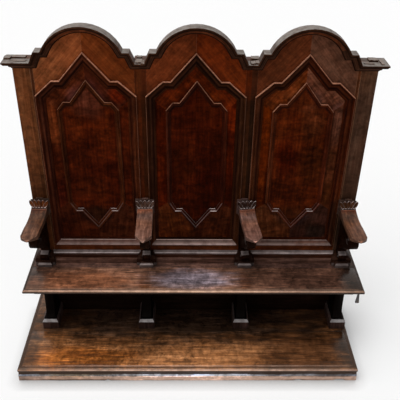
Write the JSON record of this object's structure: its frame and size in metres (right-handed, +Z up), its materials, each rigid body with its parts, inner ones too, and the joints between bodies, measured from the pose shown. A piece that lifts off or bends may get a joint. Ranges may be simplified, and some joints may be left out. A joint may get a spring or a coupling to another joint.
{
  "type": "choir stall",
  "caption": "Walnut choir stall: long seat on a platform, scrolled arms and a tall panelled back with round-headed cornice.",
  "frame": {"origin": "on the floor, under the middle of the seat and halfway along the platform's depth, at the underside of the platform's middle joist", "axes": "+X to the right as one faces the stall, +Y to the back, +Z up"},
  "size_m": [2.214, 0.715, 2.18],
  "materials": {
    "frame_walnut": "waxed, dark reddish brown",
    "panel_walnut": "waxed veneer, glossy red-brown",
    "moulding_walnut": "waxed, near black",
    "cornice_walnut": "waxed in front, dusty on top",
    "seat_walnut": "polished by use, worn edge",
    "arm_walnut": "worn satin",
    "platform_walnut": "worn wax, bare at the foot",
    "shadow_walnut": "dark, dull wax",
    "iron": "wrought, grey"
  },
  "bodies": {
    "stall": {"platform_front_board": "platform_walnut", "platform_rear_board": "platform_walnut", "platform_fascia": "platform_walnut", "platform_left_rail": "shadow_walnut", "platform_right_rail": "shadow_walnut", "platform_rear_rail": "shadow_walnut", "platform_joist": "shadow_walnut", "lower_back_board": "shadow_walnut", "seat_apron": "shadow_walnut", "seat_front_plank": "seat_walnut", "seat_rear_plank": "seat_walnut", "left_post": "frame_walnut", "right_post": "frame_walnut", "left_stile": "frame_walnut", "right_stile": "frame_walnut", "left_mullion": "frame_walnut", "right_mullion": "frame_walnut", "bottom_rail": "frame_walnut", "left_bay_head_left": "frame_walnut", "left_bay_head_right": "frame_walnut", "left_panel": "panel_walnut", "left_outer_moulding": "moulding_walnut", "left_inner_moulding": "moulding_walnut", "left_cornice": "cornice_walnut", "left_skirting": "moulding_walnut", "middle_bay_head_left": "frame_walnut", "middle_bay_head_right": "frame_walnut", "middle_panel": "panel_walnut", "middle_outer_moulding": "moulding_walnut", "middle_inner_moulding": "moulding_walnut", "middle_cornice": "cornice_walnut", "middle_skirting": "moulding_walnut", "right_bay_head_left": "frame_walnut", "right_bay_head_right": "frame_walnut", "right_panel": "panel_walnut", "right_outer_moulding": "moulding_walnut", "right_inner_moulding": "moulding_walnut", "right_cornice": "cornice_walnut", "right_skirting": "moulding_walnut", "left_cornice_return": "cornice_walnut", "right_cornice_return": "cornice_walnut", "left_standard": "shadow_walnut", "left_arm": "arm_walnut", "left_console": "moulding_walnut", "left_seat_plinth": "moulding_walnut", "centre_left_standard": "shadow_walnut", "centre_left_arm": "arm_walnut", "centre_left_console": "moulding_walnut", "centre_left_seat_plinth": "moulding_walnut", "centre_right_standard": "shadow_walnut", "centre_right_arm": "arm_walnut", "centre_right_console": "moulding_walnut", "centre_right_seat_plinth": "moulding_walnut", "right_standard": "shadow_walnut", "right_arm": "arm_walnut", "right_console": "moulding_walnut", "right_seat_plinth": "moulding_walnut", "link_staple": "iron"},
    "link": {"link_plate": "iron"}
  },
  "joints": [
    {"name": "link_swing", "type": "hinge", "parent": "stall", "child": "link", "pos_m": [1.05, -0.1235, 0.553], "axis": [0, 1, 0], "range_deg": [-75, 75]}
  ]
}
